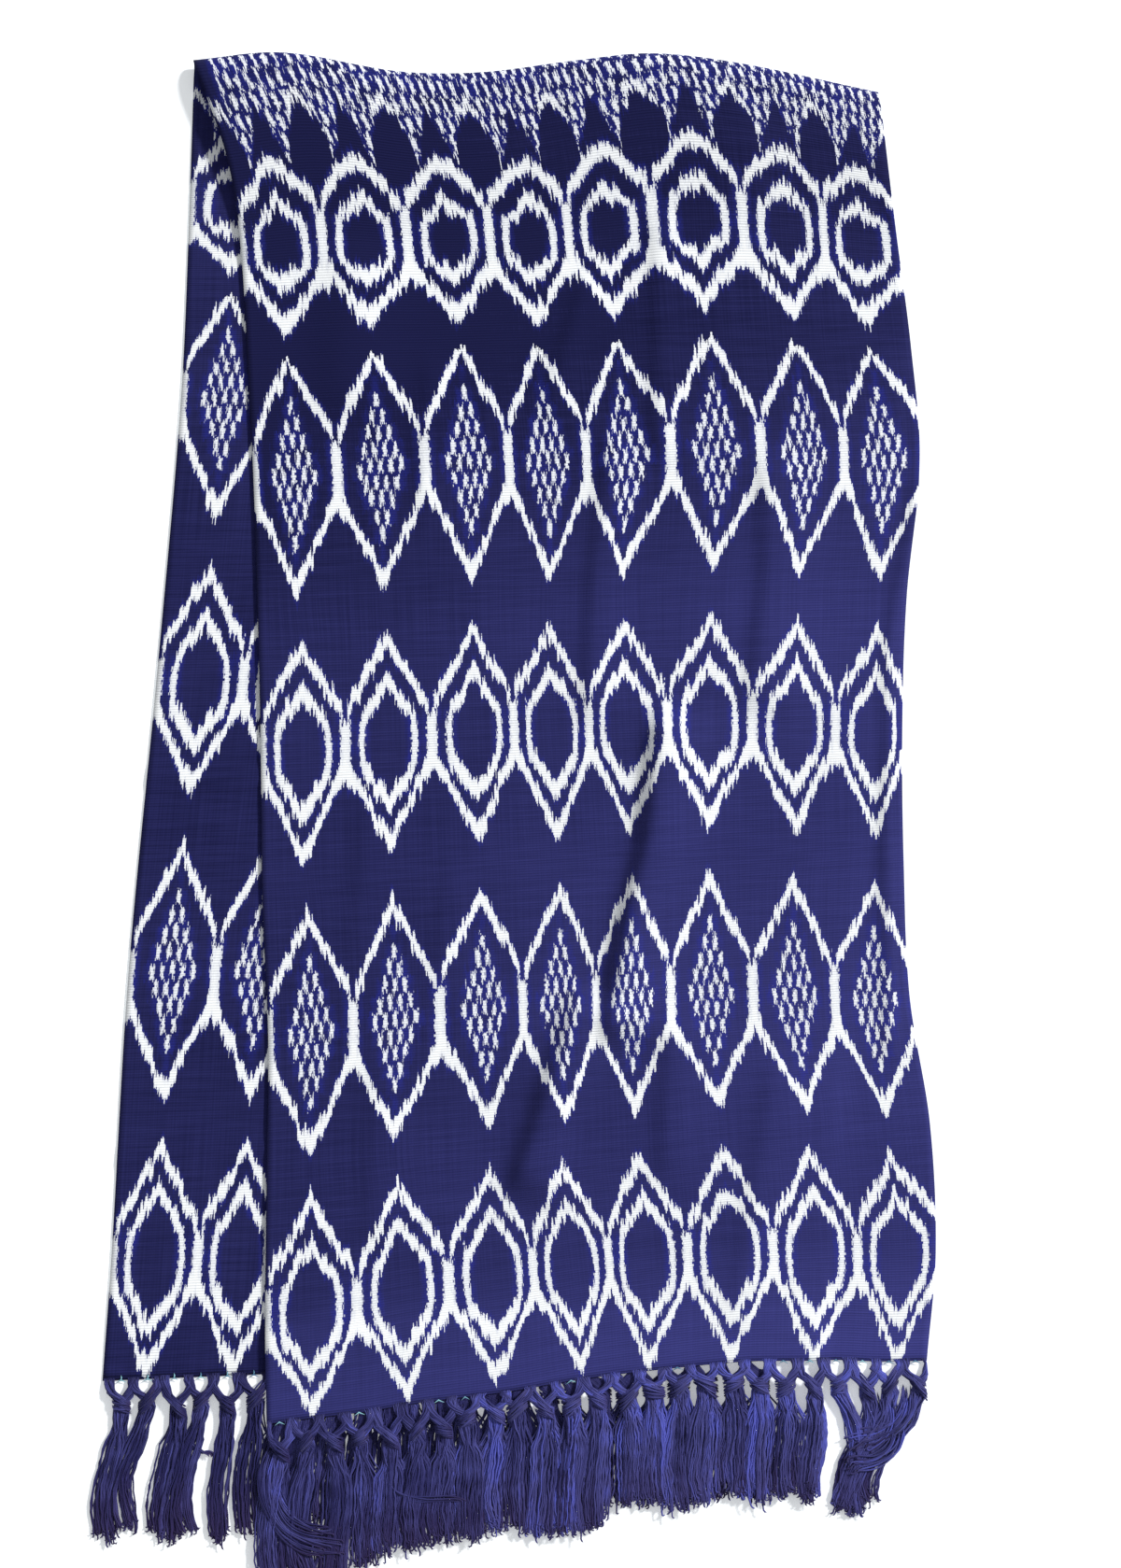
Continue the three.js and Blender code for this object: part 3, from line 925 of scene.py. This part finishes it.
# %% One half bundle, from under the hem to the far side of its knot
# The place of its middle as a share of half a pitch, its drop below the hem, its width and
# its height, and how far the half that lies on top is lifted.
bundle_stations = table_of(("aside", "drop", "width", "height", "lift"), [
    (0.84, -0.0022, 0.0080, 0.0010, 0.0000),
    (0.90, 0.0018, 0.0066, 0.0024, 0.0000),
    (0.90, 0.0056, 0.0064, 0.0034, 0.0002),
    (0.72, 0.0096, 0.0070, 0.0038, 0.0008),
    (0.28, 0.0134, 0.0078, 0.0040, 0.0014),
    (-0.12, 0.0185, 0.0080, 0.0036, 0.0010),
    (-0.22, 0.0235, 0.0080, 0.0032, 0.0004),
])


def bundle_points(hem, middle, low, side, radius, angle, on_top, stray):
    """A thread keeps its place in the bundle while the bundle turns slowly on itself.

    stray says how far the whole bundle has moved to the side at each station.
    """
    points = []
    for i, station in enumerate(bundle_stations):
        turned = angle + 0.5 * i * side
        aside = middle + side * station["aside"] * hem.pitch / 2 + stray[i]
        aside += station["width"] / 2 * radius * math.cos(turned)
        aside = min(max(aside, 0.0008), hem.length - 0.0008)
        up = station["height"] * (1 + radius * math.sin(turned)) / 2
        up += station["lift"] * (1.2 if on_top else 0.3) + THREAD_RADIUS
        points.append(hem.point(aside, station["drop"] * low, up))
    return points


# %% One thread of a tassel
TASSEL_STEPS = 16
TASSEL_FROM = 0.024
LOCKS = 7


class Lock:
    """Threads that cling together. They share their sway and most of their length."""

    def __init__(self, place, rng):
        self.place = place
        self.sway = rng.uniform(0.0003, 0.0016)
        self.waves = rng.uniform(0.8, 2.2)
        self.phase = rng.uniform(0, 2 * math.pi)
        self.shift = rng.gauss(0, 0.0009)
        self.longer = rng.gauss(0, 0.0026)
        self.tone = rng.gauss(0, 0.20)
        self.depth = rng.random()


def curled_tip(points, rng):
    """Two short steps past the end, turned to one side."""
    turn = rng.choice((-1, 1)) * rng.uniform(0.4, 2.6)
    heading = points[-1] - points[-2]
    heading.z = 0
    heading.normalize()
    for bend in (0.5, 1.0):
        angle = turn * bend
        ahead = Vector((
            heading.x * math.cos(angle) - heading.y * math.sin(angle),
            heading.x * math.sin(angle) + heading.y * math.cos(angle),
            rng.uniform(-0.2, 0.35)))
        tip = points[-1] + ahead * rng.uniform(0.0009, 0.0017)
        tip.z = max(tip.z, CLEARANCE + THREAD_RADIUS)
        points.append(tip)


def tassel_points(hem, middle, low, tassel, lock, rng, start_aside):
    """From the knot to the loose tip. The thread sways with its lock, and a little alone."""
    points = []
    in_lock = rng.uniform(-0.95, 0.95)
    own_phase = lock.phase + rng.gauss(0, 0.4)
    own_waves = rng.uniform(4.0, 8.0)
    reach = tassel["reach"] + lock.longer + rng.gauss(0, 0.0024)
    height = rng.random()
    for step in range(1, TASSEL_STEPS + 1):
        share = step / TASSEL_STEPS
        below = mix(TASSEL_FROM * low, reach, share)
        width = mix(tassel["neck"], tassel["spread"], ease((below - 0.022) / 0.026))
        place = (lock.place + in_lock / LOCKS) * width + lock.shift * share
        aside = mix(start_aside, place, ease(share * 3.5))
        aside += tassel["lean"] * ease(share) + tassel["bow"] * math.sin(math.pi * share)
        aside += lock.sway * ease(share * 1.4) * math.sin(own_phase + lock.waves * 6.3 * share)
        aside += 0.0004 * math.sin(own_phase * 5 + own_waves * 6.3 * share)
        stack = mix(0.0052, 0.0034, share) * (0.45 * lock.depth + 0.55 * height)
        dome = max(1 - 0.7 * (2 * place / width) ** 2, 0.15)
        points.append(hem.point(middle + aside, below, stack * dome + THREAD_RADIUS))
    curled_tip(points, rng)
    return points


# %% The wraps round each knot
KNOT_DROP = 0.0175
WRAPS = 13


def knot_wraps(hem, middle, low, slant, neck, tone, rng):
    """A loose ribbon of threads laid over the knot from side to side."""
    half_width = min(max(0.0064, neck * 0.45), 0.0076) * rng.uniform(0.86, 1.08)
    pitch = rng.uniform(0.00070, 0.00098)
    pinch = rng.uniform(-0.5, 0.4)
    paths = []
    for i in range(WRAPS):
        across = (i - WRAPS // 2) * pitch
        own_slant = slant + rng.gauss(0, 0.22)
        wave, phase = rng.gauss(0, 0.00042), rng.uniform(0, 6)
        rise = rng.gauss(0.0061, 0.00045)
        points = []
        for angle in (-1.5, -1.0, -0.5, 0.0, 0.5, 1.0, 1.5):
            aside = middle + half_width * math.sin(angle)
            below = KNOT_DROP * low + across * (1 + pinch * math.sin(angle))
            below += own_slant * 0.0042 * math.sin(angle) + wave * math.sin(phase + 2 * angle)
            up = 0.0008 + rise * math.cos(angle) - 70 * across**2
            points.append(hem.point(aside, below, max(up, THREAD_RADIUS)))
        paths.append((points, tone + rng.gauss(-0.06, 0.10)))
    return paths


# %% All the threads at a stretch of a hem
def fringe_threads(hem, tassels, threads, knots, tone, seed):
    """For each knot, two half bundles of so many threads, and the wraps round the knot."""
    rng = random.Random(seed)
    paths = []
    for knot in knots:
        tassel = {name: read(tassels, "knot", name, knot) for name in TASSEL_COLUMNS[1:]}
        tassel["lean"] += rng.uniform(-0.0018, 0.0018)
        middle = hem.middle(knot) + rng.uniform(-0.0018, 0.0018)
        low = rng.uniform(0.80, 1.20) * hem.drop(knot)
        locks = [Lock((i + 0.5) / LOCKS - 0.5, rng) for i in range(LOCKS)]
        for side in (-1, 1):
            on_top = (side < 0) == (knot % 2 == 0)
            stray = [0.0] + [rng.gauss(0, 0.0007) for _ in bundle_stations[2:]] + [0.0]
            own_low = low * rng.uniform(0.90, 1.10)
            for _ in range(threads):
                radius, angle = math.sqrt(rng.random()), rng.uniform(0, 2 * math.pi)
                head = bundle_points(
                    hem, middle, own_low, side, radius, angle, on_top, stray)
                last = bundle_stations[-1]
                start_aside = side * last["aside"] * hem.pitch / 2
                start_aside += last["width"] / 2 * radius * math.cos(angle + 3.0 * side)
                rank = mix(rng.random(), clamp(0.5 + start_aside / 0.010), 0.45)
                lock = locks[min(int(rank * LOCKS), LOCKS - 1)]
                tail = tassel_points(hem, middle, low, tassel, lock, rng, start_aside)
                paths.append((head + tail, clamp(tone + lock.tone + rng.gauss(0, 0.10))))
        slant = (1 if knot % 2 == 0 else -1) * rng.uniform(0.5, 1.7)
        paths += knot_wraps(hem, middle, low, slant, tassel["neck"], tone, rng)
    return paths


# %% Locks that were swept aside
# A few locks lie across the others. Each is a path in the drawing.
SWEPT_COLUMNS = ("threads", "width", "stack", "path")
upper_swept = table_of(SWEPT_COLUMNS, [
    (56, 0.0130, 0.0044, [(-0.215, -0.034), (-0.2215, -0.056), (-0.2195, -0.074),
                          (-0.211, -0.089), (-0.198, -0.098), (-0.184, -0.1015),
                          (-0.170, -0.102)]),
    (7, 0.0030, 0.0044, [(-0.140, -0.050), (-0.139, -0.062), (-0.130, -0.070),
                         (-0.115, -0.0725), (-0.096, -0.071), (-0.084, -0.074)]),
    (30, 0.0100, 0.0056, [(0.217, 0.006), (0.216, -0.009), (0.209, -0.021),
                          (0.195, -0.029), (0.183, -0.032), (0.176, -0.036)]),
    (22, 0.0090, 0.0054, [(0.200, 0.002), (0.203, -0.014), (0.198, -0.026),
                          (0.187, -0.036), (0.178, -0.043)]),
    (20, 0.0090, 0.0060, [(0.211, -0.018), (0.206, -0.036), (0.194, -0.045),
                          (0.181, -0.047), (0.175, -0.050)]),
])
lower_swept = table_of(SWEPT_COLUMNS, [
    (6, 0.0016, 0.0035, [(-0.277, -0.030), (-0.2735, -0.0375), (-0.268, -0.0405),
                         (-0.2625, -0.0415), (-0.256, -0.046)]),
])


def swept_threads(table, bed, tone, seed):
    """Each thread runs along a stretch of its lock's path and keeps its place in the lock."""
    rng = random.Random(seed)
    paths = []
    for lock in table:
        stops = [dict(stop=i, x=x, y=y) for i, (x, y) in enumerate(lock["path"])]
        last = len(stops) - 1.05
        for _ in range(lock["threads"]):
            aside = rng.uniform(-0.5, 0.5) * lock["width"]
            start = rng.uniform(0.0, 0.8)
            end = len(stops) - 1 - rng.uniform(0.0, 1.6)
            height = rng.uniform(0.4, 1.0) * lock["stack"]
            phase = rng.uniform(0, 6)
            points = []
            for step in range(TASSEL_STEPS + 1):
                at = mix(start, end, step / TASSEL_STEPS)
                here, ahead = (
                    Vector((read(stops, "stop", "x", a), read(stops, "stop", "y", a)))
                    for a in (min(at, last), min(at, last) + 0.05))
                heading = (ahead - here).normalized()
                here += heading * 0.004 * max(at - last, 0)
                off = aside * (1 + 0.12 * at) + 0.0010 * math.sin(phase + 1.9 * at)
                sunk = ease(at * 2)
                points.append(laid(
                    here.x - heading.y * off, here.y + heading.x * off,
                    max(height * sunk, THREAD_RADIUS), bed))
            curled_tip(points, rng)
            paths.append((points, tone + rng.gauss(-0.1, 0.18)))
    return paths


# %% The groups of threads
# The middle knots of the upper hem are pushed up against it. The lower fringe rises freely
# only where the upper half doesn't lie on it.
front_left = upper_lines[0]["left_x"]
upper_hem = Hem(upper_lines[0], 0.009, lambda across: hem_rise(across, 0.0),
                lambda knot: 1 - 0.24 * ease((knot - 6) / 3) * ease((21 - knot) / 3),
                bed_height, lambda x: 1.0)
lower_hem = Hem(lower_lines[0], 0.013, lambda across: 0.0, lambda knot: 1.0,
                lambda x, y: CLEARANCE,
                lambda x: mix(0.020, 0.0029, ease((x - front_left + 0.010) / 0.010)))
fringe_parts = [
    make_threads(name, fringe_threads(hem, tassels, threads, knots, tone, seed)
                 + swept_threads(swept, hem.bed, tone, seed + 10), THREAD_RADIUS)
    for name, hem, tassels, threads, knots, swept, tone, seed in (
        ("upper_threads_left", upper_hem, upper_tassels, 47, range(8), upper_swept[:2], 0.30, 7),
        ("upper_threads_middle", upper_hem, upper_tassels, 47, range(8, 17), [], 0.57, 8),
        ("upper_threads_right", upper_hem, upper_tassels, 47, range(17, 25), upper_swept[2:],
         0.57, 6),
        ("lower_threads_left", lower_hem, lower_tassels, 30, range(8), lower_swept, 0.22, 9),
        ("lower_threads_right", lower_hem, lower_tassels, 24, range(8, 25), [], 0.15, 10),
    )
]


# %% The threads' finish
def make_thread_finish():
    """Indigo, brighter where a thread's own tone and a slow noise meet, with a painted royal-blue
    highlight where both are high, worn at the tips.
    """
    finish = Finish("indigo_threads", roughness=0.55, sheen=0.06, sheen_roughness=0.4)
    thread = finish.node("ShaderNodeAttribute", {"attribute_name": "thread"}, output=1)
    tone, down = finish.split(thread)
    place = finish.node("ShaderNodeTexCoord", None, None, output=3)
    cloudy = finish.noise(place, 70.0, 1.0)
    amount = (tone * 0.9 + cloudy * 0.7 - 0.35 - down * 0.15).share()
    dyed = finish.blend(amount, to_linear(35, 34, 82), to_linear(93, 94, 168))
    # Painted highlight: royal blue where tone and noise are high, fading towards the tips, stands
    # in for the threads' sheen.
    painted_highlight = (tone + cloudy - 1.00 - down * 0.25).share() * 3.0
    blue = finish.blend(painted_highlight.share() * 0.6, dyed, to_linear(78, 86, 186))
    worn = (down - 0.55).share() * (1.5 - tone)
    colour = finish.blend(worn.share(), blue, to_linear(52, 38, 74))
    finish.feed("Base Color", colour)
    finish.bump(finish.noise(place, 2500.0), 0.0002, 0.6)
    return finish.material


thread_finish = make_thread_finish()
for fringe in fringe_parts:
    fringe.data.materials.append(thread_finish)

# %% [markdown]
# ## The little stitches at the hem
#
# A turquoise yarn closes the weave at the hem. It shows as a short bar over some drops of the
# fringe, and at the lower hem each bar has a tiny upright stitch above it.


# %% Hem stitches
def stitch_paths(hem, lift, knots, with_ticks):
    """A bar at each of these knots, so high above the hem, and a tick above the bar if asked."""
    rng = random.Random(5)
    paths = []
    for knot in knots:
        middle = hem.middle(knot)
        reach = rng.uniform(0.0028, 0.0042)
        bar = [(-reach, 0.0018, 0.0), (0.0, -0.0004, 0.0007), (reach, 0.0018, 0.0)]
        tick = [(0.0, -0.0002, 0.0004), (0.0002, -0.0018, 0.0006), (0.0, -0.0034, 0.0)]
        for shape in (bar, tick) if with_ticks else (bar,):
            points = [hem.point(middle + a, b, lift + up) for a, b, up in shape]
            paths.append((points, rng.random()))
    return paths


def make_stitch_finish():
    finish = Finish("turquoise_yarn", roughness=0.6, sheen=0.3)
    tone, _ = finish.split(
        finish.node("ShaderNodeAttribute", {"attribute_name": "thread"}, output=1))
    finish.feed("Base Color", finish.blend(
        tone, to_linear(56, 104, 140), to_linear(140, 196, 204)))
    return finish.material


stitches = make_threads(
    "hem_stitches",
    stitch_paths(upper_hem, 0.0014, (0, 3, 6, 7, 11, 15, *range(19, 25)), False)
    + stitch_paths(lower_hem, 0.0010, range(6), True),
    0.0006)
stitches.data.materials.append(make_stitch_finish())

# %% [markdown]
# ## Each piece on its body, in place of the solids
#
# Every piece rides on the one body. The sheet stands for the three plain stretches, and the
# threads for the plain fringes.

# %% Bodies and the hidden solids
for made in (cloth, *fringe_parts, stitches):
    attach(made, "root")
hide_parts("upper_stretch", "turned_stretch", "lower_stretch")
for made in fringe_parts:
    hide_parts("upper_fringe" if made.name.startswith("upper") else "lower_fringe")
